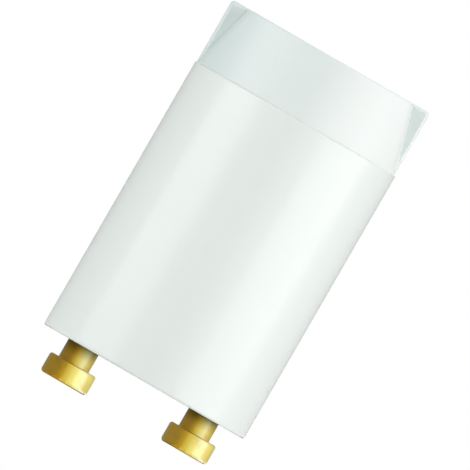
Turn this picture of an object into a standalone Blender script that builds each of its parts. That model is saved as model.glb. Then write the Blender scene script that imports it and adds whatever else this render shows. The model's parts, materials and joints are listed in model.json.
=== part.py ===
"""Fluorescent lamp starter: a moulded can with a grip crown, closed by a base plate that carries two brass pins.

Lengths are in metres and +Z is up. The origin is on the can's axis, level with the end faces of the pins, which
stand side by side along X. Inside are the glow switch, a glass bulb with a bimetal strip, and a small capacitor.
Their leads end in the drilled tails of the pins.
"""

import math

import bmesh
import bpy
from mathutils import Matrix, Vector

# Clearance between pieces that seat on or in each other
FIT_GAP = 0.0003

# Can: barrel, crown and wall
BARREL_DIAMETER = 0.02115
BARREL_HEIGHT = 0.0278
BARREL_TOP_ROUNDING = 0.0001
RIM_ROUNDING = 0.0002
CROWN_DIAMETER = 0.0209
CROWN_HEIGHT = 0.0066
CROWN_ROUNDING = 0.0003
CAN_WALL = 0.001
CROWN_CEILING = 0.0012
POCKET_ROUNDING = 0.001

# Grip recesses of the crown: leaning flats on both sides, with a fin left standing in the middle of each
GRIP_DEPTH = 0.00168
GRIP_FOOT_LEAN = math.radians(8.5)
GRIP_FIN_THICKNESS = 0.0024

# Ribs inside the can: stop ribs set the base plate's depth, key ribs keep it from turning
RIB_DEPTH = 0.0009
RIB_WIDTH = 0.0012
RIB_LENGTH = 0.012
STOP_RIB_ANGLES = (45, 135, 225, 315)
KEY_RIB_ANGLES = (90, 270)

# Base plate with the bead that snaps into the can's groove
PLATE_THICKNESS = 0.0018
PLATE_RECESS = 0.0004
BEAD_DEPTH = 0.0005
BEAD_BASE = 0.001
BEAD_CREST = 0.0004

# Contact pins, turned from brass
PIN_SPACING = 0.0127
PIN_HEAD_DIAMETER = 0.0048
PIN_HEAD_HEIGHT = 0.002
PIN_END_ROUNDING = 0.00035
PIN_SHOULDER_ROUNDING = 0.00025
PIN_NECK_DIAMETER = 0.00315
PIN_NECK_HEIGHT = 0.00185
PIN_GROOVE_DEPTH = 0.0004
PIN_GROOVE_WIDTH = 0.0012
PIN_TAIL_DIAMETER = 0.0029
PIN_TAIL_LENGTH = 0.003
TAIL_BORE_DEPTH = 0.0026
CRIMP_DEPTH = 0.0002
CRIMP_HEIGHT = 0.0008

# Glow switch: glass bulb with a pressed foot, two lead-in wires and the bimetal strip
BULB_DIAMETER = 0.0076
BULB_LENGTH = 0.0165
BULB_GLASS = 0.0006
BULB_TIP_DIAMETER = 0.0018
BULB_TIP_LENGTH = 0.0014
BULB_TIP_END_DIAMETER = 0.0009
BULB_TIP_ROUNDING = 0.0002
BULB_TIP_LANDING = 0.0002
FOOT_WIDTH = 0.0052
FOOT_THICKNESS = 0.0021
FOOT_HEIGHT = 0.003
FOOT_ROUNDING = 0.0004
FOOT_STAND = 0.0003
GLOW_LEAD_DIAMETER = 0.0004
GLOW_LEAD_SPACING = 0.0024
BIMETAL_LEAD_RISE = 0.0042
ELECTRODE_RISE = 0.0075
BIMETAL_WIDTH = 0.002
BIMETAL_THICKNESS = 0.0002
BIMETAL_WELD_LENGTH = 0.0018
BIMETAL_FIXED_LEG = 0.0078
BIMETAL_FREE_LEG = 0.006
BIMETAL_CONTACT_GAP = 0.0005

# Capacitor
CAPACITOR_WIDTH = 0.009
CAPACITOR_DEPTH = 0.0036
CAPACITOR_HEIGHT = 0.008
CAPACITOR_ROUNDING = 0.0009
CAPACITOR_LEAD_DIAMETER = 0.0005
CAPACITOR_LEAD_SPACING = 0.005
CAPACITOR_LEAD_SEAT = 0.001
CAPACITOR_CLEARANCE = 0.0008

# Lead runs between the components and the tails
LEAD_BEND_RADIUS = 0.0005
LEAD_RUN_HEIGHT = 0.0009
LEAD_END_GAP = 0.0003

# Facets
CAN_SEGMENTS = 80
PIN_SEGMENTS = 40
BULB_SEGMENTS = 32
ARC_STEPS = 4
GRIP_STEPS = 8
BIMETAL_STEPS = 8
BEVEL_STEPS = 3
CUT_MARGIN = 0.001
MERGE_DISTANCE = 0.00001
SHARP_ANGLE = math.radians(30)

# Heights of the can, from the pins' end faces
RIM_Z = PIN_HEAD_HEIGHT + PIN_NECK_HEIGHT
SEAM_Z = RIM_Z + BARREL_HEIGHT
TOP_Z = SEAM_Z + CROWN_HEIGHT
CEILING_Z = TOP_Z - CROWN_CEILING
PLATE_BOTTOM_Z = RIM_Z + PLATE_RECESS
PLATE_TOP_Z = PLATE_BOTTOM_Z + PLATE_THICKNESS
PLATE_MIDDLE_Z = (PLATE_BOTTOM_Z + PLATE_TOP_Z) / 2
TAIL_TOP_Z = PLATE_TOP_Z + PIN_TAIL_LENGTH

# Radii of the can and of what it holds
BARREL_RADIUS = BARREL_DIAMETER / 2
CROWN_RADIUS = CROWN_DIAMETER / 2
CAVITY_RADIUS = BARREL_RADIUS - CAN_WALL
RIB_FACE_RADIUS = CAVITY_RADIUS - RIB_DEPTH
PLATE_RADIUS = CAVITY_RADIUS - FIT_GAP
GROOVE_RADIUS = PLATE_RADIUS + BEAD_DEPTH + FIT_GAP

# The tail's bore takes a capacitor lead in front of a glow switch lead, each with its clearance
TAIL_BORE_DIAMETER = CAPACITOR_LEAD_DIAMETER + GLOW_LEAD_DIAMETER + 3 * FIT_GAP
TAIL_CAPACITOR_Y = -(TAIL_BORE_DIAMETER - CAPACITOR_LEAD_DIAMETER) / 2 + FIT_GAP
TAIL_GLOW_Y = (TAIL_BORE_DIAMETER - GLOW_LEAD_DIAMETER) / 2 - FIT_GAP
LEAD_END_Z = TAIL_TOP_Z - TAIL_BORE_DEPTH + LEAD_END_GAP
LEAD_RUN_Z = TAIL_TOP_Z + LEAD_RUN_HEIGHT

# The glow switch stands half way up the free height, with the capacitor in front of it
GLOW_LENGTH = FOOT_HEIGHT + BULB_LENGTH + BULB_TIP_LENGTH
COMPONENT_Z = TAIL_TOP_Z + (CEILING_Z - TAIL_TOP_Z - GLOW_LENGTH) / 2
COMPONENTS_DEPTH = BULB_DIAMETER + CAPACITOR_CLEARANCE + CAPACITOR_DEPTH
BULB_Y = (COMPONENTS_DEPTH - BULB_DIAMETER) / 2
CAPACITOR_Y = -(COMPONENTS_DEPTH - CAPACITOR_DEPTH) / 2
BULB_BOTTOM_Z = COMPONENT_Z + FOOT_HEIGHT
BULB_TOP_Z = BULB_BOTTOM_Z + BULB_LENGTH
BULB_SHOULDER = (BULB_DIAMETER - BULB_TIP_DIAMETER) / 2 - BULB_TIP_LANDING


# Scene helpers


def clear_scene():
    """Remove every object of the open file."""
    for scene_object in list(bpy.data.objects):
        bpy.data.objects.remove(scene_object, do_unlink=True)


def new_collection(name):
    collection = bpy.data.collections.new(name)
    bpy.context.scene.collection.children.link(collection)
    return collection


def new_material(name, colour, roughness, metallic=0.0, transmission=0.0):
    material = bpy.data.materials.new(name)
    material.use_nodes = True
    shader = material.node_tree.nodes["Principled BSDF"]
    shader.inputs["Base Color"].default_value = (*colour, 1.0)
    shader.inputs["Roughness"].default_value = roughness
    shader.inputs["Metallic"].default_value = metallic
    shader.inputs["Transmission Weight"].default_value = transmission
    material.diffuse_color = (*colour, 1.0)
    return material


def smooth_by_angle_nodes():
    """Node group that shades faces smooth and keeps the edges sharper than SHARP_ANGLE."""
    tree = bpy.data.node_groups.new("smooth_by_angle", "GeometryNodeTree")
    tree.is_modifier = True
    tree.interface.new_socket("Geometry", in_out="INPUT", socket_type="NodeSocketGeometry")
    tree.interface.new_socket("Geometry", in_out="OUTPUT", socket_type="NodeSocketGeometry")
    start = tree.nodes.new("NodeGroupInput")
    end = tree.nodes.new("NodeGroupOutput")
    smooth_faces = tree.nodes.new("GeometryNodeSetShadeSmooth")
    sharp_edges = tree.nodes.new("GeometryNodeSetShadeSmooth")
    sharp_edges.domain = "EDGE"
    sharp_edges.inputs["Shade Smooth"].default_value = False
    edge_angle = tree.nodes.new("GeometryNodeInputMeshEdgeAngle")
    is_sharp = tree.nodes.new("FunctionNodeCompare")
    is_sharp.data_type = "FLOAT"
    is_sharp.operation = "GREATER_THAN"
    is_sharp.inputs["B"].default_value = SHARP_ANGLE
    tree.links.new(edge_angle.outputs["Unsigned Angle"], is_sharp.inputs["A"])
    tree.links.new(is_sharp.outputs["Result"], sharp_edges.inputs["Selection"])
    tree.links.new(start.outputs["Geometry"], smooth_faces.inputs["Geometry"])
    tree.links.new(smooth_faces.outputs["Geometry"], sharp_edges.inputs["Geometry"])
    tree.links.new(sharp_edges.outputs["Geometry"], end.inputs["Geometry"])
    return tree


class Workshop:
    """The two collections and the tools that put pieces and cutters into them."""

    def __init__(self):
        self.parts = new_collection("fluorescent_starter")
        self.cutters = new_collection("cutters")
        self.smooth_nodes = smooth_by_angle_nodes()

    def add_part(self, name, data, material):
        part = bpy.data.objects.new(name, data)
        data.materials.append(material)
        self.parts.objects.link(part)
        return part

    def add_cutter(self, name, data):
        cutter = bpy.data.objects.new(name, data)
        cutter.hide_render = True
        cutter.display_type = "WIRE"
        self.cutters.objects.link(cutter)
        return cutter

    def shade(self, part):
        """Shade a finished mesh smooth, with its sharp edges kept."""
        modifier = part.modifiers.new("Smooth by angle", "NODES")
        modifier.node_group = self.smooth_nodes


# Shape helpers


def rounded_path(corners, steps=ARC_STEPS):
    """Points along straight runs whose corners are turned by arcs.

    corners holds (point, radius) pairs; a radius of 0 keeps the corner sharp.
    """
    points = []
    for index, (corner, radius) in enumerate(corners):
        if radius == 0 or index in (0, len(corners) - 1):
            points.append(corner)
            continue
        back = (corners[index - 1][0] - corner).normalized()
        ahead = (corners[index + 1][0] - corner).normalized()
        half_angle = back.angle(ahead) / 2
        centre = corner + (back + ahead).normalized() * radius / math.sin(half_angle)
        first = corner + back * radius / math.tan(half_angle) - centre
        turn = math.pi - 2 * half_angle
        onward = -back * radius
        for step in range(steps + 1):
            angle = turn * step / steps
            points.append(centre + first * math.cos(angle) + onward * math.sin(angle))
    kept = points[:1]
    for point in points[1:]:
        if (point - kept[-1]).length > MERGE_DISTANCE:
            kept.append(point)
    return kept


def section(*corners):
    """A turned piece's half section, from (radius, height[, rounding]) corners, as points in the XZ plane."""
    return rounded_path([(Vector((x, 0, z)), rounding[0] if rounding else 0) for x, z, *rounding in corners])


def turned_mesh(name, points):
    """Edges of a half section, which starts and ends on the axis and runs down the outer side."""
    edges = [(index, index + 1) for index in range(len(points) - 1)]
    mesh = bpy.data.meshes.new(name)
    mesh.from_pydata(points, edges, [])
    return mesh


def turn(turned_object, segments):
    """Turn a half section about Z into a solid."""
    screw = turned_object.modifiers.new("Turn", "SCREW")
    screw.steps = segments
    screw.render_steps = segments
    screw.use_merge_vertices = True
    screw.merge_threshold = MERGE_DISTANCE
    return turned_object


def box_mesh(name, size):
    """A box centred on its origin."""
    mesh = bpy.data.meshes.new(name)
    box = bmesh.new()
    bmesh.ops.create_cube(box, size=1)
    bmesh.ops.scale(box, vec=size, verts=box.verts)
    box.to_mesh(mesh)
    box.free()
    return mesh


def rod_mesh(name, radius, length, segments=PIN_SEGMENTS):
    """A round rod along Z, centred on its origin."""
    mesh = bpy.data.meshes.new(name)
    rod = bmesh.new()
    bmesh.ops.create_cone(rod, cap_ends=True, segments=segments, radius1=radius, radius2=radius, depth=length)
    rod.to_mesh(mesh)
    rod.free()
    return mesh


def wire_curve(name, points, diameter):
    """A round wire along the points, with its ends closed."""
    curve = bpy.data.curves.new(name, "CURVE")
    curve.dimensions = "3D"
    curve.bevel_depth = diameter / 2
    curve.bevel_resolution = 2
    curve.use_fill_caps = True
    spline = curve.splines.new("POLY")
    spline.points.add(len(points) - 1)
    for spline_point, point in zip(spline.points, points):
        spline_point.co = (*point, 1)
    return curve


def outline_mesh(name, outline, thickness):
    """A flat outline in the XZ plane, made thickness deep about y = 0."""
    curve = bpy.data.curves.new(name, "CURVE")
    curve.dimensions = "2D"
    curve.fill_mode = "BOTH"
    curve.extrude = thickness / 2
    spline = curve.splines.new("POLY")
    spline.points.add(len(outline) - 1)
    spline.use_cyclic_u = True
    for spline_point, (x, z) in zip(spline.points, outline):
        spline_point.co = (x, z, 0, 1)
    guide = bpy.data.objects.new(name, curve)
    guide.rotation_euler = (math.pi / 2, 0, 0)
    bpy.context.scene.collection.objects.link(guide)
    graph = bpy.context.evaluated_depsgraph_get()
    mesh = bpy.data.meshes.new_from_object(guide.evaluated_get(graph))
    mesh.transform(guide.matrix_world)
    bpy.data.objects.remove(guide, do_unlink=True)
    welded = bmesh.new()
    welded.from_mesh(mesh)
    bmesh.ops.remove_doubles(welded, verts=welded.verts, dist=MERGE_DISTANCE)
    bmesh.ops.recalc_face_normals(welded, faces=welded.faces)
    welded.to_mesh(mesh)
    welded.free()
    return mesh


def combine(target, other, operation):
    boolean = target.modifiers.new(f"{operation.title()} {other.name}", "BOOLEAN")
    boolean.operation = operation
    boolean.object = other


def cut(target, cutter):
    combine(target, cutter, "DIFFERENCE")


def join(target, other):
    combine(target, other, "UNION")


def mirror(mirrored_object, axes):
    """Repeat a cutter across the planes of the named axes."""
    modifier = mirrored_object.modifiers.new("Mirror", "MIRROR")
    modifier.use_axis = tuple(axis in axes for axis in "XYZ")
    modifier.use_mirror_merge = False


# Can


def grip_lean(height):
    """How far a grip flat has leaned in from the crown's side, at a height above the seam."""
    foot_slope = math.tan(GRIP_FOOT_LEAN)
    bow = GRIP_DEPTH - foot_slope * CROWN_HEIGHT
    return foot_slope * height + bow * (height / CROWN_HEIGHT) ** 2


def can_section():
    """The can's half section, from the middle of its top, down its outside, and up its inside to the ceiling."""
    groove_half_base = BEAD_BASE / 2 + FIT_GAP
    groove_half_crest = BEAD_CREST / 2 + FIT_GAP
    return section(
        (0, TOP_Z),
        (CROWN_RADIUS, TOP_Z, CROWN_ROUNDING),
        (CROWN_RADIUS, SEAM_Z),
        (BARREL_RADIUS, SEAM_Z, BARREL_TOP_ROUNDING),
        (BARREL_RADIUS, RIM_Z, RIM_ROUNDING),
        (CAVITY_RADIUS, RIM_Z),
        (CAVITY_RADIUS, PLATE_MIDDLE_Z - groove_half_base),
        (GROOVE_RADIUS, PLATE_MIDDLE_Z - groove_half_crest),
        (GROOVE_RADIUS, PLATE_MIDDLE_Z + groove_half_crest),
        (CAVITY_RADIUS, PLATE_MIDDLE_Z + groove_half_base),
        (CAVITY_RADIUS, SEAM_Z - CAN_WALL),
        (CROWN_RADIUS - CAN_WALL, SEAM_Z),
        (CROWN_RADIUS - GRIP_DEPTH - CAN_WALL, CEILING_Z, POCKET_ROUNDING),
        (0, CEILING_Z),
    )


def grip_cutter(workshop):
    """The four wedges that leave the leaning flats and the fins of the crown."""
    outer = CROWN_RADIUS + CUT_MARGIN
    outline = []
    for step in range(GRIP_STEPS + 1):
        height = (CROWN_HEIGHT + CUT_MARGIN) * step / GRIP_STEPS
        outline.append((CROWN_RADIUS - grip_lean(height), SEAM_Z + height))
    outline += [(outer, TOP_Z + CUT_MARGIN), (outer, SEAM_Z + CUT_MARGIN)]
    fin_face = GRIP_FIN_THICKNESS / 2
    depth = outer - fin_face
    mesh = outline_mesh("grip_wedge", outline, depth)
    mesh.transform(Matrix.Translation((0, fin_face + depth / 2, 0)))
    cutter = workshop.add_cutter("grip_wedges", mesh)
    mirror(cutter, "XY")
    return cutter


def add_rib(workshop, can, angle_deg, bottom_z, top_z):
    """A rib on the can's inner wall, sunk into the wall by half the wall's thickness."""
    sunk = CAN_WALL / 2
    size = (RIB_DEPTH + sunk, RIB_WIDTH, top_z - bottom_z)
    rib = workshop.add_cutter(f"rib_{angle_deg}", box_mesh("rib", size))
    angle = math.radians(angle_deg)
    middle = CAVITY_RADIUS + (sunk - RIB_DEPTH) / 2
    rib.location = (middle * math.cos(angle), middle * math.sin(angle), (bottom_z + top_z) / 2)
    rib.rotation_euler = (0, 0, angle)
    join(can, rib)


def build_housing(workshop):
    plastic = new_material("white_polycarbonate", (0.82, 0.87, 0.85), 0.3)
    can = workshop.add_part("housing", turned_mesh("housing", can_section()), plastic)
    turn(can, CAN_SEGMENTS)
    cut(can, grip_cutter(workshop))
    rib_bottom = PLATE_TOP_Z + FIT_GAP
    rib_top = rib_bottom + RIB_LENGTH
    for angle in STOP_RIB_ANGLES:
        add_rib(workshop, can, angle, rib_bottom, rib_top)
    for angle in KEY_RIB_ANGLES:
        add_rib(workshop, can, angle, PLATE_BOTTOM_Z, rib_top)
    workshop.shade(can)


# Base plate


def plate_section():
    """The plate's half section, with the snap bead half way up its edge."""
    bead_radius = PLATE_RADIUS + BEAD_DEPTH
    return section(
        (0, PLATE_TOP_Z),
        (PLATE_RADIUS, PLATE_TOP_Z),
        (PLATE_RADIUS, PLATE_MIDDLE_Z + BEAD_BASE / 2),
        (bead_radius, PLATE_MIDDLE_Z + BEAD_CREST / 2),
        (bead_radius, PLATE_MIDDLE_Z - BEAD_CREST / 2),
        (PLATE_RADIUS, PLATE_MIDDLE_Z - BEAD_BASE / 2),
        (PLATE_RADIUS, PLATE_BOTTOM_Z),
        (0, PLATE_BOTTOM_Z),
    )


def pin_hole_section():
    """The hole moulded round a pin: it follows the pin's neck, groove and tail at the fit gap."""
    neck = PIN_NECK_DIAMETER / 2 + FIT_GAP
    ridge = neck - PIN_GROOVE_DEPTH
    half_ridge = PIN_GROOVE_WIDTH / 2 - FIT_GAP
    return section(
        (0, PLATE_TOP_Z + CUT_MARGIN),
        (neck, PLATE_TOP_Z + CUT_MARGIN),
        (neck, PLATE_MIDDLE_Z + half_ridge),
        (ridge, PLATE_MIDDLE_Z + half_ridge),
        (ridge, PLATE_MIDDLE_Z - half_ridge),
        (neck, PLATE_MIDDLE_Z - half_ridge),
        (neck, PLATE_BOTTOM_Z - CUT_MARGIN),
        (0, PLATE_BOTTOM_Z - CUT_MARGIN),
    )


def build_base_plate(workshop):
    plastic = new_material("plate_plastic", (0.75, 0.75, 0.72), 0.5)
    plate = workshop.add_part("base_plate", turned_mesh("base_plate", plate_section()), plastic)
    turn(plate, CAN_SEGMENTS)
    hole_mesh = turned_mesh("pin_hole", pin_hole_section())
    for side, x in pin_places():
        hole = turn(workshop.add_cutter(f"pin_hole_{side}", hole_mesh), PIN_SEGMENTS)
        hole.location.x = x
        cut(plate, hole)
    notch_depth = PLATE_RADIUS + BEAD_DEPTH + CUT_MARGIN - RIB_FACE_RADIUS + FIT_GAP
    notch_size = (notch_depth, RIB_WIDTH + 2 * FIT_GAP, PLATE_THICKNESS + 2 * CUT_MARGIN)
    notch_mesh = box_mesh("key_notch", notch_size)
    for angle_deg in KEY_RIB_ANGLES:
        notch = workshop.add_cutter(f"key_notch_{angle_deg}", notch_mesh)
        angle = math.radians(angle_deg)
        middle = RIB_FACE_RADIUS - FIT_GAP + notch_depth / 2
        notch.location = (middle * math.cos(angle), middle * math.sin(angle), PLATE_MIDDLE_Z)
        notch.rotation_euler = (0, 0, angle)
        cut(plate, notch)
    workshop.shade(plate)


# Contact pins


def pin_places():
    """The name and the x of each pin."""
    return (("left", -PIN_SPACING / 2), ("right", PIN_SPACING / 2))


def pin_section():
    """A pin's half section, from the bottom of the tail's bore, over the tail, and down to the end face."""
    neck = PIN_NECK_DIAMETER / 2
    groove = neck - PIN_GROOVE_DEPTH
    head = PIN_HEAD_DIAMETER / 2
    half_groove = PIN_GROOVE_WIDTH / 2
    return section(
        (0, TAIL_TOP_Z - TAIL_BORE_DEPTH),
        (TAIL_BORE_DIAMETER / 2, TAIL_TOP_Z - TAIL_BORE_DEPTH),
        (TAIL_BORE_DIAMETER / 2, TAIL_TOP_Z),
        (PIN_TAIL_DIAMETER / 2, TAIL_TOP_Z),
        (PIN_TAIL_DIAMETER / 2, PLATE_TOP_Z),
        (neck, PLATE_TOP_Z),
        (neck, PLATE_MIDDLE_Z + half_groove),
        (groove, PLATE_MIDDLE_Z + half_groove),
        (groove, PLATE_MIDDLE_Z - half_groove),
        (neck, PLATE_MIDDLE_Z - half_groove),
        (neck, PIN_HEAD_HEIGHT),
        (head, PIN_HEAD_HEIGHT, PIN_SHOULDER_ROUNDING),
        (head, 0, PIN_END_ROUNDING),
        (0, 0),
    )


def crimp_cutter(workshop, side, x):
    """Two blocks that press flats into the sides of a pin's tail, half way up its bore."""
    flat_x = PIN_TAIL_DIAMETER / 2 - CRIMP_DEPTH
    size = (PIN_TAIL_DIAMETER, PIN_TAIL_DIAMETER + CUT_MARGIN, CRIMP_HEIGHT)
    mesh = box_mesh("crimp", size)
    mesh.transform(Matrix.Translation((flat_x + size[0] / 2, 0, 0)))
    cutter = workshop.add_cutter(f"crimp_{side}", mesh)
    cutter.location = (x, 0, TAIL_TOP_Z - TAIL_BORE_DEPTH / 2)
    mirror(cutter, "X")
    return cutter


def build_pins(workshop):
    brass = new_material("brass", (0.78, 0.58, 0.22), 0.25, metallic=1.0)
    for side, x in pin_places():
        mesh = turned_mesh("contact_pin", pin_section())
        pin = turn(workshop.add_part(f"contact_pin_{side}", mesh, brass), PIN_SEGMENTS)
        pin.location.x = x
        cut(pin, crimp_cutter(workshop, side, x))
        workshop.shade(pin)


# Glow switch


def bulb_section():
    """The bulb's half section, from the exhaust tip, down the outside, and up the gas space.

    The bottom has a stem hole, which the pressed foot fills.
    """
    radius = BULB_DIAMETER / 2
    inner_radius = radius - BULB_GLASS
    inner_shoulder = BULB_SHOULDER - BULB_GLASS
    stem_hole = FOOT_THICKNESS / 4
    tip_z = BULB_TOP_Z + BULB_TIP_LENGTH
    return section(
        (0, tip_z),
        (BULB_TIP_END_DIAMETER / 2, tip_z, BULB_TIP_ROUNDING),
        (BULB_TIP_DIAMETER / 2, BULB_TOP_Z),
        (radius, BULB_TOP_Z, BULB_SHOULDER),
        (radius, BULB_BOTTOM_Z, BULB_SHOULDER),
        (stem_hole, BULB_BOTTOM_Z),
        (stem_hole, BULB_BOTTOM_Z + BULB_GLASS),
        (inner_radius, BULB_BOTTOM_Z + BULB_GLASS, inner_shoulder),
        (inner_radius, BULB_TOP_Z - BULB_GLASS, inner_shoulder),
        (0, BULB_TOP_Z - BULB_GLASS),
    )


def build_bulb(workshop):
    glass = new_material("glow_tube_glass", (0.9, 0.95, 0.95), 0.05, transmission=0.9)
    bulb = workshop.add_part("glow_tube_bulb", turned_mesh("glow_tube_bulb", bulb_section()), glass)
    turn(bulb, BULB_SEGMENTS)
    bulb.location.y = BULB_Y

    foot_size = (FOOT_WIDTH, FOOT_THICKNESS, FOOT_HEIGHT + BULB_GLASS + FOOT_STAND)
    foot = workshop.add_cutter("pressed_foot", box_mesh("pressed_foot", foot_size))
    foot.location = (0, BULB_Y, COMPONENT_Z + foot_size[2] / 2)
    round_edges(foot, FOOT_ROUNDING)
    join(bulb, foot)

    bore_length = FOOT_HEIGHT + BULB_DIAMETER / 2 + CUT_MARGIN
    bore_mesh = rod_mesh("lead_bore", GLOW_LEAD_DIAMETER / 2 + FIT_GAP, bore_length, BULB_SEGMENTS // 2)
    for side, sign in (("left", -1), ("right", 1)):
        bore = workshop.add_cutter(f"lead_bore_{side}", bore_mesh)
        bore.location = (sign * GLOW_LEAD_SPACING / 2, BULB_Y, COMPONENT_Z - CUT_MARGIN + bore_length / 2)
        cut(bulb, bore)
    workshop.shade(bulb)


def round_edges(rounded_object, width):
    bevel = rounded_object.modifiers.new("Round edges", "BEVEL")
    bevel.width = width
    bevel.segments = BEVEL_STEPS


def lead_points(x, start, run_y, tail_y):
    """A lead's route: down from start, across above the pin's tail, and down into the tail's bore."""
    pin_x = math.copysign(PIN_SPACING / 2, x)
    return rounded_path(
        [
            (Vector((x, run_y, start)), 0),
            (Vector((x, run_y, LEAD_RUN_Z)), LEAD_BEND_RADIUS),
            (Vector((pin_x, tail_y, LEAD_RUN_Z)), LEAD_BEND_RADIUS),
            (Vector((pin_x, tail_y, LEAD_END_Z)), 0),
        ]
    )


def build_glow_leads(workshop):
    nickel = new_material("lead_in_wire", (0.72, 0.69, 0.64), 0.3, metallic=1.0)
    half_spacing = GLOW_LEAD_SPACING / 2
    runs = (
        ("bimetal_lead_wire", -half_spacing, BULB_BOTTOM_Z + BIMETAL_LEAD_RISE),
        ("fixed_electrode_wire", half_spacing, BULB_BOTTOM_Z + ELECTRODE_RISE),
    )
    for name, x, top_z in runs:
        points = lead_points(x, top_z, BULB_Y, TAIL_GLOW_Y)
        workshop.add_part(name, wire_curve(name, points, GLOW_LEAD_DIAMETER), nickel)


def build_bimetal(workshop):
    """The strip's fixed leg lies along its lead-in wire, and its free leg hangs short of the fixed electrode."""
    steel = new_material("bimetal", (0.62, 0.6, 0.56), 0.35, metallic=1.0)
    wire_radius = GLOW_LEAD_DIAMETER / 2
    fixed_x = -GLOW_LEAD_SPACING / 2 - wire_radius - FIT_GAP - BIMETAL_THICKNESS / 2
    free_x = GLOW_LEAD_SPACING / 2 - wire_radius - BIMETAL_CONTACT_GAP - BIMETAL_THICKNESS / 2
    foot_z = BULB_BOTTOM_Z + BIMETAL_LEAD_RISE - BIMETAL_WELD_LENGTH
    bend_z = foot_z + BIMETAL_FIXED_LEG
    bend_radius = (free_x - fixed_x) / 2
    front_y = BULB_Y - BIMETAL_WIDTH / 2
    path = rounded_path(
        [
            (Vector((fixed_x, front_y, foot_z)), 0),
            (Vector((fixed_x, front_y, bend_z)), bend_radius),
            (Vector((free_x, front_y, bend_z)), bend_radius),
            (Vector((free_x, front_y, bend_z - BIMETAL_FREE_LEG)), 0),
        ],
        steps=BIMETAL_STEPS,
    )
    mesh = bpy.data.meshes.new("bimetal_strip")
    strip = bmesh.new()
    edge_points = [strip.verts.new(point) for point in path]
    edges = [strip.edges.new(pair) for pair in zip(edge_points, edge_points[1:])]
    swept = bmesh.ops.extrude_edge_only(strip, edges=edges)["geom"]
    swept_points = [element for element in swept if isinstance(element, bmesh.types.BMVert)]
    bmesh.ops.translate(strip, vec=(0, BIMETAL_WIDTH, 0), verts=swept_points)
    strip.to_mesh(mesh)
    strip.free()
    part = workshop.add_part("bimetal_strip", mesh, steel)
    solidify = part.modifiers.new("Thickness", "SOLIDIFY")
    solidify.thickness = BIMETAL_THICKNESS
    solidify.offset = 0
    workshop.shade(part)


# Capacitor


def build_capacitor(workshop):
    epoxy = new_material("capacitor_epoxy", (0.35, 0.16, 0.05), 0.35)
    copper = new_material("tinned_wire", (0.75, 0.74, 0.72), 0.3, metallic=1.0)
    size = (CAPACITOR_WIDTH, CAPACITOR_DEPTH, CAPACITOR_HEIGHT)
    body = workshop.add_part("capacitor_body", box_mesh("capacitor_body", size), epoxy)
    body.location = (0, CAPACITOR_Y, COMPONENT_Z + CAPACITOR_HEIGHT / 2)
    round_edges(body, CAPACITOR_ROUNDING)
    seat_radius = CAPACITOR_LEAD_DIAMETER / 2 + FIT_GAP
    seat_length = CAPACITOR_LEAD_SEAT + FIT_GAP + CUT_MARGIN
    seat_mesh = rod_mesh("lead_seat", seat_radius, seat_length, BULB_SEGMENTS // 2)
    for side, sign in (("left", -1), ("right", 1)):
        x = sign * CAPACITOR_LEAD_SPACING / 2
        seat = workshop.add_cutter(f"lead_seat_{side}", seat_mesh)
        seat.location = (x, CAPACITOR_Y, COMPONENT_Z - CUT_MARGIN + seat_length / 2)
        cut(body, seat)
        name = f"capacitor_lead_{side}"
        points = lead_points(x, COMPONENT_Z + CAPACITOR_LEAD_SEAT, CAPACITOR_Y, TAIL_CAPACITOR_Y)
        workshop.add_part(name, wire_curve(name, points, CAPACITOR_LEAD_DIAMETER), copper)
    workshop.shade(body)


def main():
    clear_scene()
    workshop = Workshop()
    build_housing(workshop)
    build_base_plate(workshop)
    build_pins(workshop)
    build_bulb(workshop)
    build_glow_leads(workshop)
    build_bimetal(workshop)
    build_capacitor(workshop)


main()
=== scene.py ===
"""Looks of a fluorescent lamp starter: a white moulded can with a grip crown, and two turned brass pins.

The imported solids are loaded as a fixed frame. Finer pieces are made over them, in metres and in the same
place, and every surface gets a finish of its own.
"""

from __future__ import annotations

import json
import logging
import math
from collections.abc import Mapping, Sequence
from dataclasses import dataclass
from enum import Enum

import bmesh
import bpy
import numpy as np
from mathutils import Matrix, Vector

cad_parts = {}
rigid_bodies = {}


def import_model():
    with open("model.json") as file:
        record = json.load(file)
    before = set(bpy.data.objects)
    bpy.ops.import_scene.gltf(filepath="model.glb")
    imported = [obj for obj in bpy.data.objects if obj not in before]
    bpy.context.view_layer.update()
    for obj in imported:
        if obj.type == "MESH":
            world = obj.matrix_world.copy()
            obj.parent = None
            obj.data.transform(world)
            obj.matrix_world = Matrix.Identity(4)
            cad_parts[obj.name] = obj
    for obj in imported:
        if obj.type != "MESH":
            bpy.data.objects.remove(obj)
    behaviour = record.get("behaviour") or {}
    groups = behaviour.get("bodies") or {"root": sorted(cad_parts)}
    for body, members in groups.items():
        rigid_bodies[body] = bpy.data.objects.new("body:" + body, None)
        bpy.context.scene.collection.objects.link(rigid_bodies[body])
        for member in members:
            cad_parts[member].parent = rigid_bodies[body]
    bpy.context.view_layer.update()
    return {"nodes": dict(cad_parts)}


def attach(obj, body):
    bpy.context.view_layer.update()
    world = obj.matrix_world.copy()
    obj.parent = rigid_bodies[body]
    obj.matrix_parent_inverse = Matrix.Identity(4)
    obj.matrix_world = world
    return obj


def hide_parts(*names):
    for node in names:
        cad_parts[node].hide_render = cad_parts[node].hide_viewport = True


for startup_object in list(bpy.data.objects):
    bpy.data.objects.remove(startup_object, do_unlink=True)
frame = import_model()

LOG = logging.getLogger("starter")
BODY = "root"
PIN_OFFSET = 0.00635
PINS = {"left": -PIN_OFFSET, "right": PIN_OFFSET}
MERGE_DISTANCE = 1e-7

Span = tuple[float, float]
Point = tuple[float, float]
Triple = tuple[float, float, float]
Colour = tuple[float, float, float, float]


# Node trees


class Layout(Enum):
    """Place of the colour sockets in a Mix node that blends colours."""

    FACTOR = 0
    FIRST = 6
    SECOND = 7
    RESULT = 2


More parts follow.
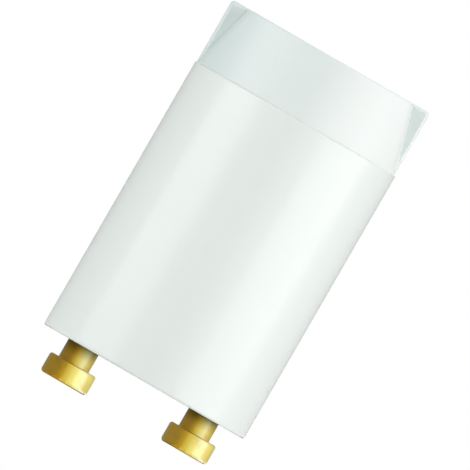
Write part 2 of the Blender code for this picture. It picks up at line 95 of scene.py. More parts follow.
class Tree:
    """Adds nodes to one node tree."""

    def __init__(self, tree: bpy.types.NodeTree) -> None:
        """Keep the tree.

        Args:
            tree: The node tree that the nodes go into.
        """
        self.tree = tree

    def node(
        self,
        kind: str,
        settings: Mapping[str, object] | None = None,
        sockets: Mapping[int | str, object] | None = None,
    ) -> bpy.types.Node:
        """Add one node.

        Args:
            kind: Blender's name of the node type.
            settings: Properties of the node, such as a Math node's operation, set first.
            sockets: Values or links of its inputs, by name or place.

        Returns:
            The new node.
        """
        made = self.tree.nodes.new(kind)
        for name, value in (settings or {}).items():
            setattr(made, name, value)
        for key, value in (sockets or {}).items():
            self._feed(made.inputs[key], value)
        return made

    def _feed(self, socket: bpy.types.NodeSocket, value: object) -> None:
        """Link a socket or set its own value.

        Args:
            socket: The input.
            value: What it gets: a value, another node's output, or a number, colour or the like.
        """
        if isinstance(value, Value):
            value = value.socket
        if isinstance(value, bpy.types.NodeSocket):
            self.tree.links.new(value, socket)
        else:
            socket.default_value = value


@dataclass(frozen=True)
class Value:
    """A number's socket, on which Python's operators add Math nodes."""

    tree: Tree
    socket: bpy.types.NodeSocket

    def maths(self, operation: str, *operands: object) -> Value:
        """Add a Math node.

        Args:
            operation: The Math node's operation.
            operands: Its inputs in order, as values or numbers.

        Returns:
            The node's result.
        """
        made = self.tree.node("ShaderNodeMath", {"operation": operation}, dict(enumerate(operands)))
        return Value(self.tree, made.outputs[0])

    def __add__(self, other: object) -> Value:
        """Sum of two values."""
        return self.maths("ADD", self, other)

    __radd__ = __add__

    def __sub__(self, other: object) -> Value:
        """This value less another."""
        return self.maths("SUBTRACT", self, other)

    def __rsub__(self, other: object) -> Value:
        """A number less this value."""
        return self.maths("SUBTRACT", other, self)

    def __mul__(self, other: object) -> Value:
        """Product of two values."""
        return self.maths("MULTIPLY", self, other)

    __rmul__ = __mul__

    def __truediv__(self, other: object) -> Value:
        """This value over another."""
        return self.maths("DIVIDE", self, other)

    def __rtruediv__(self, other: object) -> Value:
        """A number over this value."""
        return self.maths("DIVIDE", other, self)

    def __abs__(self) -> Value:
        """This value without its sign."""
        return self.maths("ABSOLUTE", self)

    def sine(self) -> Value:
        """Sine of this value."""
        return self.maths("SINE", self)

    def cosine(self) -> Value:
        """Cosine of this value."""
        return self.maths("COSINE", self)

    def root(self) -> Value:
        """Square root of this value."""
        return self.maths("SQRT", self)

    def at_most(self, other: object) -> Value:
        """The lesser of this value and another."""
        return self.maths("MINIMUM", self, other)

    def step(self, low: float, high: float) -> Value:
        """A soft step.

        Args:
            low: Where the step starts, at 0.
            high: Where it ends, at 1.

        Returns:
            The step's value, from 0 to 1.
        """
        made = self.tree.node(
            "ShaderNodeMapRange",
            {"interpolation_type": "SMOOTHSTEP"},
            {"Value": self, "From Min": low, "From Max": high},
        )
        return Value(self.tree, made.outputs["Result"])


class MaterialSheet(Tree):
    """A material whose nodes are written in Python."""

    def __init__(self, name: str) -> None:
        """Make an empty material.

        Args:
            name: The material's name.
        """
        self.material = bpy.data.materials.new(name)
        self.material.use_nodes = True
        super().__init__(self.material.node_tree)
        self.tree.nodes.clear()
        self.place = self.node("ShaderNodeTexCoord").outputs["Object"]
        parts = self.node("ShaderNodeSeparateXYZ", sockets={0: self.place})
        self.x, self.y, self.z = (Value(self, output) for output in parts.outputs)

    def from_pins(self) -> Value:
        """Distance from the axis of the nearer pin."""
        from_axis = abs(self.x) - PIN_OFFSET
        return (from_axis * from_axis + self.y * self.y).root()

    def noise(self, size: float, detail: float = 2.0, stretch: Triple = (1, 1, 1)) -> Value:
        """A noise pattern.

        Args:
            size: Size of its grains in metres.
            detail: Number of finer layers.
            stretch: Factors by which the pattern is squeezed along X, Y and Z.

        Returns:
            The noise, about 0.5 on average.
        """
        mapped = self.node("ShaderNodeMapping", sockets={"Vector": self.place, "Scale": stretch})
        made = self.node(
            "ShaderNodeTexNoise",
            sockets={"Vector": mapped.outputs[0], "Scale": 1 / size, "Detail": detail},
        )
        return Value(self, made.outputs[0])

    def blend(self, factor: object, first: object, second: object, how: str = "MIX") -> bpy.types.NodeSocket:
        """Mix two colours.

        Args:
            factor: Share of the second colour.
            first: The first colour.
            second: The second colour.
            how: The Mix node's blend type.

        Returns:
            The mixed colour's socket.
        """
        made = self.node(
            "ShaderNodeMix",
            {"data_type": "RGBA", "blend_type": how},
            {Layout.FACTOR.value: factor, Layout.FIRST.value: first, Layout.SECOND.value: second},
        )
        return made.outputs[Layout.RESULT.value]

    def bump(self, height: Value, depth: float) -> bpy.types.NodeSocket:
        """Turn a height pattern into normals.

        Args:
            height: The pattern, from 0 to 1.
            depth: Its depth in metres.

        Returns:
            The normal's socket.
        """
        made = self.node("ShaderNodeBump", sockets={"Height": height, "Distance": depth})
        return made.outputs["Normal"]

    def surface(self, sockets: Mapping[int | str, object]) -> bpy.types.NodeSocket:
        """Add a Principled shader.

        Args:
            sockets: Values or links of its sockets.

        Returns:
            The shader's socket.
        """
        return self.node("ShaderNodeBsdfPrincipled", sockets=sockets).outputs[0]

    def end(self, shader: bpy.types.NodeSocket) -> bpy.types.Material:
        """End the material in a shader.

        Args:
            shader: The shader's socket.

        Returns:
            The material.
        """
        self.node("ShaderNodeOutputMaterial", sockets={"Surface": shader})
        return self.material


def srgb(red: int, green: int, blue: int) -> Colour:
    """Turn a picture colour into Blender's linear one, by the usual sRGB formula.

    Args:
        red: Red from 0 to 255.
        green: Green from 0 to 255.
        blue: Blue from 0 to 255.

    Returns:
        The linear colour with full alpha.
    """
    shares = [value / 255 for value in (red, green, blue)]
    linear = [share / 12.92 if share <= 0.04045 else ((share + 0.055) / 1.055) ** 2.4 for share in shares]
    return (linear[0], linear[1], linear[2], 1.0)


# Finishes


@dataclass(frozen=True)
class MouldedCan:
    """White moulded plastic of the can, a little cooler on the hollow crown, with painted shade and light on
    the crown.

    A span is where a soft step starts and ends. The barrel's roughness stays under 0.27 all over, because
    the picture's denoiser shows a change across that number as patches.
    """

    can: Can
    colour: Colour = srgb(236, 242, 238)
    crown_colour: Colour = srgb(231, 239, 237)
    # The crown's left side gets painted shade and its right side painted light, each across its span.
    crown_painted_shade: Colour = srgb(218, 230, 228)
    crown_painted_light: Colour = srgb(238, 243, 241)
    painted_shade_span: Span = (-0.0095, -0.0055)
    painted_light_span: Span = (-0.0005, 0.0045)
    seam_blend: float = 0.00004
    top_blend: float = 0.0001
    # An even painted shade on the fins' faces, in place of the crown's painted shade and light.
    fin_painted_shade: Colour = srgb(226, 235, 233)
    fin_side_span: Span = (0.00002, 0.00012)
    fin_edge_span: Span = (0.00002, 0.0001)
    # Darker painted shade in the corners at the fins' feet, less on the side with painted light.
    corner_painted_shade: Colour = srgb(176, 192, 186)
    corner_width: float = 0.0003
    corner_share: float = 0.45
    corner_fade: float = 0.25
    cloud_colour: Colour = srgb(196, 214, 208)
    cloud_size: float = 0.007
    cloud_share: float = 0.03
    roughness: float = 0.26
    crown_roughness: float = 0.42
    top_roughness: float = 0.65
    wipe_size: float = 0.0022
    wipe_stretch: Triple = (1, 1, 0.25)
    wipe_roughness: float = 0.02
    grain_size: float = 0.00016
    grain_roughness: float = 0.01
    grain_share: float = 0.7
    grain_depth: float = 0.0000025
    specular: float = 0.64

    def material(self) -> bpy.types.Material:
        """Make the finish.

        Returns:
            The material.
        """
        sheet = MaterialSheet("moulded_can")
        seam = self.can.seam_height
        crown = sheet.z.step(seam - self.seam_blend, seam + self.seam_blend)
        top = sheet.z.step(self.can.top_height - self.top_blend, self.can.top_height)
        # Painted shade on the crown's left and painted light on its right, kept off the top.
        shaded = (1 - sheet.x.step(*self.painted_shade_span)) * (1 - top)
        lit = sheet.x.step(*self.painted_light_span) * (1 - top)
        hollow = sheet.blend(shaded, self.crown_colour, self.crown_painted_shade)
        hollow = sheet.blend(lit, hollow, self.crown_painted_light)
        base = sheet.blend(crown, self.colour, hollow)
        base = self._with_fins(sheet, base, crown, lit)
        cloud = sheet.noise(self.cloud_size, 3)
        grain = sheet.noise(self.grain_size, 3)
        wiped = sheet.noise(self.wipe_size, 2, self.wipe_stretch)
        rough = self.roughness + crown * (self.crown_roughness - self.roughness)
        rough += top * (self.top_roughness - self.crown_roughness)
        rough += (wiped - 0.5) * self.wipe_roughness + (grain - 0.5) * self.grain_roughness
        skin = grain * self.grain_share + cloud * (1 - self.grain_share)
        shader = sheet.surface(
            {
                "Base Color": sheet.blend(cloud * self.cloud_share, base, self.cloud_colour, "MULTIPLY"),
                "Roughness": rough,
                "Specular IOR Level": self.specular,
                "Normal": sheet.bump(skin, self.grain_depth),
            }
        )
        return sheet.end(shader)

    def _with_fins(
        self, sheet: MaterialSheet, base: bpy.types.NodeSocket, crown: Value, lit: Value
    ) -> bpy.types.NodeSocket:
        """Give the crown's fins an even painted shade, and the corners at their feet a darker painted shade.

        Args:
            sheet: The material.
            base: The colour round them.
            crown: Share of the crown at each place.
            lit: Share of the crown's painted light, which lessens the corners' painted shade.

        Returns:
            The colour with the fins.
        """
        out = abs(sheet.x) - self.can.crown_radius + (sheet.z - self.can.seam_height) * self.can.grip_slope
        fin_faces = (1 - abs(abs(sheet.y) - self.can.fin_half).step(*self.fin_side_span)) * crown
        # Painted shade in the corners where the fins meet the flats, less where the crown has painted light.
        corner = fin_faces * (1 - abs(out).step(0.0, self.corner_width))
        corner = corner * (self.corner_share - lit * self.corner_fade)
        # The fins' faces get their even painted shade.
        base = sheet.blend(fin_faces * out.step(*self.fin_edge_span), base, self.fin_painted_shade)
        return sheet.blend(corner, base, self.corner_painted_shade)


@dataclass(frozen=True)
class TurnedBrass:
    """Brass turned on a lathe, with fine tool rings, a clear lacquer, a few dark stains and painted shade on
    the neck.

    A span is where a soft step starts and ends. The neck has painted shade, and the painted shade under the
    can's rim grows up it.
    """

    colour: Colour = srgb(229, 191, 54)
    # Colour of the dark stains and of the neck's painted shade.
    tarnish_and_shade: Colour = srgb(136, 100, 26)
    stain_size: float = 0.0011
    stain_span: Span = (0.5, 0.78)
    stain_share: float = 0.3
    # The neck is darkened with painted shade in the stains' darker colour.
    neck_span: Span = (0.002, 0.0021)
    neck_painted_shade: float = 0.27
    neck_wear: float = 0.3
    rim_shade: Colour = srgb(52, 42, 18)
    rim_shade_span: Span = (0.00245, 0.00395)
    rim_shade_share: float = 0.72
    roughness: float = 0.36
    dull_roughness: float = 0.12
    drag_size: float = 0.0006
    drag_stretch: Triple = (0.6, 0.6, 3)
    drag_roughness: float = 0.1
    ring_pitch: float = 0.00009
    ring_share: float = 0.6
    ring_depth: float = 0.0000012
    lacquer_roughness: float = 0.32
    lacquer_ior: float = 1.75

    def material(self) -> bpy.types.Material:
        """Make the finish.

        Returns:
            The material.
        """
        sheet = MaterialSheet("turned_brass")
        rings = ((sheet.from_pins() + sheet.z) * (2 * math.pi / self.ring_pitch)).sine() * 0.5 + 0.5
        drag = sheet.noise(self.drag_size, 3, self.drag_stretch)
        stain = sheet.noise(self.stain_size, 3).step(*self.stain_span) * self.stain_share
        # Painted shade over the whole neck, added to the random stains.
        neck = sheet.z.step(*self.neck_span)
        stain_and_shade = (stain + neck * self.neck_painted_shade).at_most(1.0)
        # Painted shade under the can's rim, growing up the neck.
        under_rim = sheet.z.step(*self.rim_shade_span) * self.rim_shade_share
        base = sheet.blend(stain_and_shade, self.colour, self.tarnish_and_shade)
        skin = rings * self.ring_share + drag * (1 - self.ring_share)
        shader = sheet.surface(
            {
                "Base Color": sheet.blend(under_rim, base, self.rim_shade),
                "Metallic": 1.0,
                "Roughness": self.roughness + stain_and_shade * self.dull_roughness + (drag - 0.5) * self.drag_roughness,
                "Coat Weight": (1 - under_rim) * (1 - neck * self.neck_wear),
                "Coat Roughness": self.lacquer_roughness,
                "Coat IOR": self.lacquer_ior,
                "Normal": sheet.bump(skin, self.ring_depth),
            }
        )
        return sheet.end(shader)


@dataclass(frozen=True)
class SpeckledSolid:
    """An even material with a faint speckle, for the plate and the pieces inside the can.

    The cloud in its roughness is larger than the specks by the cloud's scale.
    """

    name: str
    colour: Colour
    speck: Colour
    speck_size: float
    roughness: float
    metallic: float = 0.0
    coat: float = 0.0
    transmission: float = 0.0
    depth: float = 0.000004
    speck_span: Span = (0.52, 0.72)
    speck_share: float = 0.5
    cloud_scale: float = 12.0
    cloud_roughness: float = 0.12

    def material(self) -> bpy.types.Material:
        """Make the finish.

        Returns:
            The material.
        """
        sheet = MaterialSheet(self.name)
        specks = sheet.noise(self.speck_size, 3)
        cloud = sheet.noise(self.speck_size * self.cloud_scale, 2)
        speckled = specks.step(*self.speck_span) * self.speck_share
        shader = sheet.surface(
            {
                "Base Color": sheet.blend(speckled, self.colour, self.speck),
                "Metallic": self.metallic,
                "Roughness": self.roughness + (cloud - 0.5) * self.cloud_roughness,
                "Coat Weight": self.coat,
                "Transmission Weight": self.transmission,
                "Normal": sheet.bump(specks, self.depth),
            }
        )
        return sheet.end(shader)


# Shapes


def arc_corner(
    before: Sequence[float], corner: Sequence[float], after: Sequence[float], radius: float, steps: int
) -> list[Point]:
    """Round one corner of an outline.

    Args:
        before: Any point on the line that comes in.
        corner: The sharp corner.
        after: Any point on the line that goes out.
        radius: The rounding's radius.
        steps: Number of faces on the arc.

    Returns:
        The arc's points in order.
    """
    point = Vector(corner)
    back = (Vector(before) - point).normalized()
    ahead = (Vector(after) - point).normalized()
    half = back.angle(ahead) / 2
    centre = point + (back + ahead).normalized() * radius / math.sin(half)
    first = point + back * radius / math.tan(half) - centre
    turn = math.pi - 2 * half
    made = []
    for step in range(steps + 1):
        angle = turn * step / steps
        spot = centre + first * math.cos(angle) - back * radius * math.sin(angle)
        made.append((spot.x, spot.y))
    return made


def outline(corners: Sequence[tuple[float, ...]], steps: int = 6) -> list[Point]:
    """An outline with rounded corners.

    Args:
        corners: (radius, height) or (radius, height, rounding) of each corner.
        steps: Number of faces on each rounding.

    Returns:
        The outline's points as (radius, height).
    """
    points: list[Point] = []
    for index, corner in enumerate(corners):
        if len(corner) == 2 or index in (0, len(corners) - 1):
            points.append((corner[0], corner[1]))
            continue
        before, after = corners[index - 1][:2], corners[index + 1][:2]
        points += arc_corner(before, corner[:2], after, corner[2], steps)
    return points


def split_long(points: Sequence[Point], longest: float, beside: float = 0.0) -> list[Point]:
    """Add points to an outline's long runs.

    Args:
        points: The outline.
        longest: Greatest distance between two points.
        beside: How far from each end a run gets one more point, so that it shades flat. A run of less than
            four times that gets none.

    Returns:
        The outline with the points that were added.
    """
    made = [points[0]]
    for first, second in zip(points, points[1:]):
        length = math.dist(first, second)
        count = max(1, math.ceil(length / longest))
        shares = [step / count for step in range(1, count)]
        if beside and length > 4 * beside:
            shares = sorted({beside / length, 1 - beside / length, *shares})
        for share in [*shares, 1.0]:
            across = first[0] + (second[0] - first[0]) * share
            up = first[1] + (second[1] - first[1]) * share
            made.append((across, up))
    return made


def grid_mesh(name: str, rows: np.ndarray) -> bpy.types.Mesh:
    """A skin over rings of points, closed at each end ring to its middle.

    Args:
        name: The mesh's name.
        rows: Rings of points, as an array of ring, point and coordinate, from the first end to the last.

    Returns:
        The mesh, shaded smooth.
    """
    ring_count, around, _ = rows.shape
    points = rows.reshape(-1, 3)
    near, column = np.meshgrid(np.arange(ring_count - 1), np.arange(around), indexing="ij")
    beside = (column + 1) % around
    quads = np.stack(
        [
            near * around + column,
            near * around + beside,
            (near + 1) * around + beside,
            (near + 1) * around + column,
        ],
        axis=-1,
    ).reshape(-1, 4)
    faces = quads.tolist()
    vertices = points.tolist()
    for ring, turned in ((0, True), (ring_count - 1, False)):
        vertices.append(rows[ring].mean(axis=0).tolist())
        middle = len(vertices) - 1
        start = ring * around
        for index in range(around):
            pair = (start + index, start + (index + 1) % around)
            faces.append((pair[1], pair[0], middle) if turned else (pair[0], pair[1], middle))
    mesh = bpy.data.meshes.new(name)
    mesh.from_pydata(vertices, [], faces)
    mesh.shade_smooth()
    return mesh


def add_piece(
    name: str, mesh: bpy.types.Mesh, finish: bpy.types.Material, nodes: Sequence[str] = ()
) -> None:
    """Put a finished mesh into the scene as a piece of the starter.

    Args:
        name: The piece's name.
        mesh: Its mesh, in place.
        finish: Its material.
        nodes: The CAD nodes that it stands for.
    """
    piece = bpy.data.objects.new(name, mesh)
    mesh.materials.clear()
    mesh.materials.append(finish)
    bpy.context.scene.collection.objects.link(piece)
    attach(piece, BODY)
    if nodes:
        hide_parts(*nodes)
    LOG.info("%s: %d faces", name, len(mesh.polygons))


def applied(carrier: bpy.types.Object, name: str) -> bpy.types.Mesh:
    """Turn an object's modifiers into a plain mesh, and take the object away.

    Args:
        carrier: The object, in the scene.
        name: The mesh's name.

    Returns:
        The mesh.
    """
    graph = bpy.context.evaluated_depsgraph_get()
    made = bpy.data.meshes.new_from_object(carrier.evaluated_get(graph))
    made.name = name
    carrier.modifiers.clear()
    bpy.data.objects.remove(carrier, do_unlink=True)
    return made


def smooth_copy(node: str, sharp: float) -> bpy.types.Mesh:
    """A merged copy of a CAD node's mesh, shaded smooth between its sharp edges and flat on its large faces.

    Args:
        node: The node's name.
        sharp: Angle in degrees from which an edge stays sharp.

    Returns:
        The copy.
    """
    copy = bmesh.new()
    copy.from_mesh(frame["nodes"][node].data)
    bmesh.ops.remove_doubles(copy, verts=copy.verts, dist=MERGE_DISTANCE)
    mesh = bpy.data.meshes.new(f"{node}_smooth")
    copy.to_mesh(mesh)
    copy.free()
    if "custom_normal" in mesh.attributes:
        mesh.attributes.remove(mesh.attributes["custom_normal"])
    mesh.shade_smooth()
    mesh.set_sharp_from_angle(angle=math.radians(sharp))
    carrier = bpy.data.objects.new(node, mesh)
    bpy.context.scene.collection.objects.link(carrier)
    weighted = carrier.modifiers.new("weighted", "WEIGHTED_NORMAL")
    weighted.keep_sharp = True
    weighted.weight = 100
    return applied(carrier, f"{node}_skin")


class GeometryTree(Tree):
    """A Geometry Nodes tree with named inputs, run once to make a plain mesh."""

    def __init__(self, name: str, inputs: Mapping[str, str]) -> None:
        """Make the tree and its named inputs.

        Args:
            name: The tree's name.
            inputs: Socket type of each input, by name.
        """
        super().__init__(bpy.data.node_groups.new(name, "GeometryNodeTree"))
        for way in ("INPUT", "OUTPUT"):
            self.tree.interface.new_socket("Geometry", in_out=way, socket_type="NodeSocketGeometry")
        self.sockets = {
            label: self.tree.interface.new_socket(label, in_out="INPUT", socket_type=kind)
            for label, kind in inputs.items()
        }
        self.start = self.node("NodeGroupInput").outputs

    def given(self, label: str) -> Value:
        """A named input's value."""
        return Value(self, self.start[label])

    def close(self, geometry: bpy.types.NodeSocket) -> None:
        """End the tree in Realize Instances and Set Material.

        Args:
            geometry: The geometry that the tree has made.
        """
        real = self.node("GeometryNodeRealizeInstances", sockets={0: geometry})
        dressed = self.node(
            "GeometryNodeSetMaterial",
            sockets={"Geometry": real.outputs[0], "Material": self.start["Material"]},
        )
        self.node("NodeGroupOutput", sockets={0: dressed.outputs[0]})

    def run(
        self,
        name: str,
        values: Mapping[str, object],
        points: Sequence[Sequence[float]] = (),
        rounding: float = 0.0,
    ) -> bpy.types.Mesh:
        """Run the tree.

        Args:
            name: The mesh's name.
            values: The inputs' values, by name.
            points: Points that the tree starts from, in order.
            rounding: Radius of its sharp edges, rounded after the tree has run.

        Returns:
            The mesh that it made.
        """
        drawn = bpy.data.meshes.new(f"{name}_drawn")
        drawn.from_pydata(points, [], [])
        carrier = bpy.data.objects.new(name, drawn)
        bpy.context.scene.collection.objects.link(carrier)
        modifier = carrier.modifiers.new(self.tree.name, "NODES")
        modifier.node_group = self.tree
        for label, value in values.items():
            modifier[self.sockets[label].identifier] = value
        if rounding:
            rounded = carrier.modifiers.new("rounded", "BEVEL")
            rounded.width = rounding
            rounded.segments = 3
        return applied(carrier, name)


# Can


def join_round(first: np.ndarray, second: np.ndarray, radius: float | np.ndarray) -> np.ndarray:
    """Distance to the union of two solids, with a fillet in the corner between them.

    Args:
        first: Distance to the first solid.
        second: Distance to the second solid.
        radius: The fillet's radius.

    Returns:
        The distance to both.
    """
    inside = np.hypot(np.maximum(radius - first, 0), np.maximum(radius - second, 0))
    return np.maximum(radius, np.minimum(first, second)) - inside


def meet_round(first: np.ndarray, second: np.ndarray, radius: float | np.ndarray) -> np.ndarray:
    """Distance to what two solids share, with its edge rounded.

    Args:
        first: Distance to the first solid.
        second: Distance to the second solid.
        radius: The rounding's radius.

    Returns:
        The distance to the shared solid.
    """
    outside = np.hypot(np.maximum(radius + first, 0), np.maximum(radius + second, 0))
    return np.minimum(-radius, np.maximum(first, second)) + outside


@dataclass
class Can:
    """The moulded can: barrel, grip crown, hollow inside and ribs.

    Heights are above the pins' end faces. Each angle band is its last angle in degrees and its number of
    steps. The edges of the flats grow from the fin's side outwards. A run is the greatest distance between
    two rings. The search for the crown's skin starts and ends at shares of the crown's radius.
    """

    rim_height: float = 0.00385
    seam_height: float = 0.03165
    top_height: float = 0.03825
    ceiling_height: float = 0.03705
    barrel_radius: float = 0.010575
    crown_radius: float = 0.01045
    wall: float = 0.001
    rim_rounding: float = 0.0002
    shoulder_rounding: float = 0.00005
    parting_depth: float = 0.00002
    parting_height: float = 0.00005
    edge_ring: float = 0.0001
    grip_slope: float = 0.272
    fin_half: float = 0.0012
    fin_foot_fillet: float = 0.00003
    fin_edge: float = 0.00025
    face_edge: float = 0.0004
    top_edge: float = 0.00014
    fin_top_edge: float = 0.0004
    edge_growth_start: float = 0.0014
    edge_growth_length: float = 0.0016
    angle_bands: tuple[tuple[float, int], ...] = ((5.5, 6), (9.0, 36), (36.0, 70), (90.0, 36))
    crown_rings: int = 34
    brow_rings: int = 12
    top_shares: tuple[float, ...] = (0.9, 0.6, 0.3)
    outside_run: float = 0.004
    search_start: float = 0.5
    search_end: float = 1.01
    search_steps: int = 40
    search_limit: float = 1e-10
    ceiling_middle: float = 0.0004
    ceiling_rounding: float = 0.001
    groove_depth: float = 0.0005
    groove_heights: tuple[float, ...] = (0.0059, 0.0056, 0.0047, 0.0044)
    inside_run: float = 0.006
    stop_rib_count: int = 4
    key_rib_count: int = 2
    rib_depth: float = 0.0009
    rib_width: float = 0.0012
    rib_foot: float = 0.00635
    rib_length: float = 0.012
    rib_rounding: float = 0.0002
    plate_foot: float = 0.00425

    def flat_place(self, height: float | np.ndarray) -> float | np.ndarray:
        """Distance of a grip flat from the middle plane.

        Args:
            height: Height above the seam.

        Returns:
            The distance at that height.
        """
        return self.crown_radius - self.grip_slope * height

    def angles(self) -> np.ndarray:
        """Choose the angles round the can, closest together where the grip's fins and edges are.

        Returns:
            The angles in radians, once round.
        """
        quarter = [0.0]
        for limit, count in self.angle_bands:
            start = quarter[-1]
            quarter += [start + (limit - start) * (step + 1) / count for step in range(count)]
        half = quarter + [180 - angle for angle in reversed(quarter[:-1])]
        whole = half + [180 + angle for angle in half[1:-1]]
        return np.radians(whole)

    def crown_reach(self, angles: np.ndarray, heights: np.ndarray) -> np.ndarray:
        """Radius of the crown's skin along each ray from the axis.

        Args:
            angles: Angles of the rays.
            heights: Height of each ring.

        Returns:
            The radius for each ring and ray.
        """
        across = np.abs(np.cos(angles))[None, :]
        deep = np.abs(np.sin(angles))[None, :]
        height = heights[:, None]
        flat = self.flat_place(np.maximum(height - self.seam_height, 0))
        near = np.full((len(heights), len(angles)), self.search_start * self.crown_radius)
        far = np.full_like(near, self.crown_radius * self.search_end)
        for _ in range(self.search_steps):
            middle = (near + far) / 2
            beyond_flat = middle * across - flat
            beyond_fin = middle * deep - self.fin_half
            side = join_round(beyond_flat, beyond_fin, self.fin_foot_fillet)
            share = np.clip((middle * deep - self.edge_growth_start) / self.edge_growth_length, 0, 1)
            edge = self.fin_edge + (self.face_edge - self.fin_edge) * share
            skin = meet_round(middle - self.crown_radius, side, edge)
            brow = self.fin_top_edge + (self.top_edge - self.fin_top_edge) * share
            solid = meet_round(skin, height - self.top_height, brow)
            outside = solid > self.search_limit
            far = np.where(outside, middle, far)
            near = np.where(outside, near, middle)
        return near

    def crown_heights(self) -> np.ndarray:
        """Choose the heights of the crown's rings, close together at its top edge.

        Returns:
            The heights, from the seam up.
        """
        start = self.seam_height + self.parting_height
        straight = np.linspace(start, self.top_height - self.fin_top_edge, self.crown_rings)
        turn = np.linspace(0, math.pi / 2, self.brow_rings + 1)[1:]
        return np.concatenate([straight, self.top_height - self.fin_top_edge * (1 - np.sin(turn))])

    def outside_rows(self, angles: np.ndarray) -> np.ndarray:
        """Draw the outside, from the rim up over the crown to the middle of its top.

        Args:
            angles: Angles of the rings' points.

        Returns:
            The rings' points, as an array of ring, point and coordinate.
        """
        seam = self.seam_height
        parting = self.crown_radius - self.parting_depth
        barrel = outline(
            [
                (self.barrel_radius - self.wall, self.rim_height),
                (self.barrel_radius, self.rim_height, self.rim_rounding),
                (self.barrel_radius, seam, self.shoulder_rounding),
                (parting, seam),
                (parting, seam + self.parting_height / 2),
            ]
        )
        turned = self._turned(split_long(barrel, self.outside_run, self.edge_ring), angles)
        heights = self.crown_heights()
        crown = self._ring_points(self.crown_reach(angles, heights), heights, angles)
        top = np.stack([crown[-1] * (share, share, 1) for share in self.top_shares])
        return np.concatenate([turned, crown, top])

    def inside_rows(self, angles: np.ndarray) -> np.ndarray:
        """Draw the hollow, from the middle of the ceiling down to the rim.

        Args:
            angles: Angles of the rings' points.

        Returns:
            The rings' points, as an array of ring, point and coordinate.
        """
        hollow = self.barrel_radius - self.wall
        groove = hollow + self.groove_depth
        ceiling = self.flat_place(self.top_height - self.seam_height) - self.wall
        groove_top, groove_high, groove_low, groove_foot = self.groove_heights
        points = outline(
            [
                (self.ceiling_middle, self.ceiling_height),
                (ceiling, self.ceiling_height, self.ceiling_rounding),
                (self.crown_radius - self.wall, self.seam_height),
                (hollow, self.seam_height - self.wall),
                (hollow, groove_top),
                (groove, groove_high),
                (groove, groove_low),
                (hollow, groove_foot),
                (hollow, self.rim_height),
            ]
        )
        return self._turned(split_long(points, self.inside_run), angles)

    @staticmethod
    def _ring_points(radii: np.ndarray, heights: np.ndarray, angles: np.ndarray) -> np.ndarray:
        """Place the points of rings.

        Args:
            radii: Radius of each ring at each angle.
            heights: Height of each ring.
            angles: The angles.

        Returns:
            The points, as an array of ring, point and coordinate.
        """
        x = radii * np.cos(angles)
        y = radii * np.sin(angles)
        z = np.broadcast_to(heights[:, None], x.shape)
        return np.stack([x, y, z], axis=-1)

    def _turned(self, points: Sequence[Point], angles: np.ndarray) -> np.ndarray:
        """Turn an outline round the can's axis.

        Args:
            points: The outline, as (radius, height).
            angles: Angles of the rings' points.

        Returns:
            The rings' points, as an array of ring, point and coordinate.
        """
        radii, heights = np.array(points).T
        return self._ring_points(np.repeat(radii[:, None], len(angles), axis=1), heights, angles)

    def build(self, finish: bpy.types.Material) -> None:
        """Make the can's skin and its ribs.

        Args:
            finish: The can's material.
        """
        angles = self.angles()
        rows = np.concatenate([self.inside_rows(angles), self.outside_rows(angles)[1:]])
        add_piece("can_skin", grid_mesh("can_skin", rows), finish, ["housing"])
        self._build_ribs(finish)

    def _build_ribs(self, finish: bpy.types.Material) -> None:
        """Make the stop ribs and the key ribs inside the can.

        Args:
            finish: The can's material.
        """
        tree = self._rib_tree()
        sink = self.wall / 2
        for name, count, foot in (
            ("stop_ribs", self.stop_rib_count, self.rib_foot),
            ("key_ribs", self.key_rib_count, self.plate_foot),
        ):
            length = self.rib_foot + self.rib_length - foot
            values = {
                "Count": count,
                "First angle": math.pi / count,
                "Wall radius": self.barrel_radius - self.wall + (sink - self.rib_depth) / 2,
                "Middle height": foot + length / 2,
                "Rib size": (self.rib_depth + sink, self.rib_width, length),
                "Material": finish,
            }
            ribs = tree.run(name, values, rounding=self.rib_rounding)
            add_piece(name, ribs, finish, ["housing"])

    @staticmethod
    def _rib_tree() -> GeometryTree:
        """Make a Geometry Nodes tree that stands ribs round the inside of the can's wall.

        Returns:
            The tree.
        """
        tree = GeometryTree(
            "ribs_round_wall",
            {
                "Count": "NodeSocketInt",
                "First angle": "NodeSocketFloat",
                "Wall radius": "NodeSocketFloat",
                "Middle height": "NodeSocketFloat",
                "Rib size": "NodeSocketVector",
                "Material": "NodeSocketMaterial",
            },
        )
        count = tree.given("Count")
        line = tree.node("GeometryNodeMeshLine", sockets={"Count": count, "Offset": (0, 0, 0)})
        number = Value(tree, tree.node("GeometryNodeInputIndex").outputs[0])
        angle = number / count * (2 * math.pi) + tree.given("First angle")
        wall = tree.given("Wall radius")
        place = tree.node(
            "ShaderNodeCombineXYZ",
            sockets={"X": angle.cosine() * wall, "Y": angle.sine() * wall, "Z": tree.given("Middle height")},
        )
        placed = tree.node(
            "GeometryNodeSetPosition", sockets={"Geometry": line.outputs[0], "Position": place.outputs[0]}
        )
        rib = tree.node("GeometryNodeMeshCube", sockets={"Size": tree.start["Rib size"]})
        turn = tree.node("ShaderNodeCombineXYZ", sockets={"Z": angle})
        stood = tree.node(
            "GeometryNodeInstanceOnPoints",
            sockets={"Points": placed.outputs[0], "Instance": rib.outputs[0], "Rotation": turn.outputs[0]},
        )
        tree.close(stood.outputs[0])
        return tree


# Pins


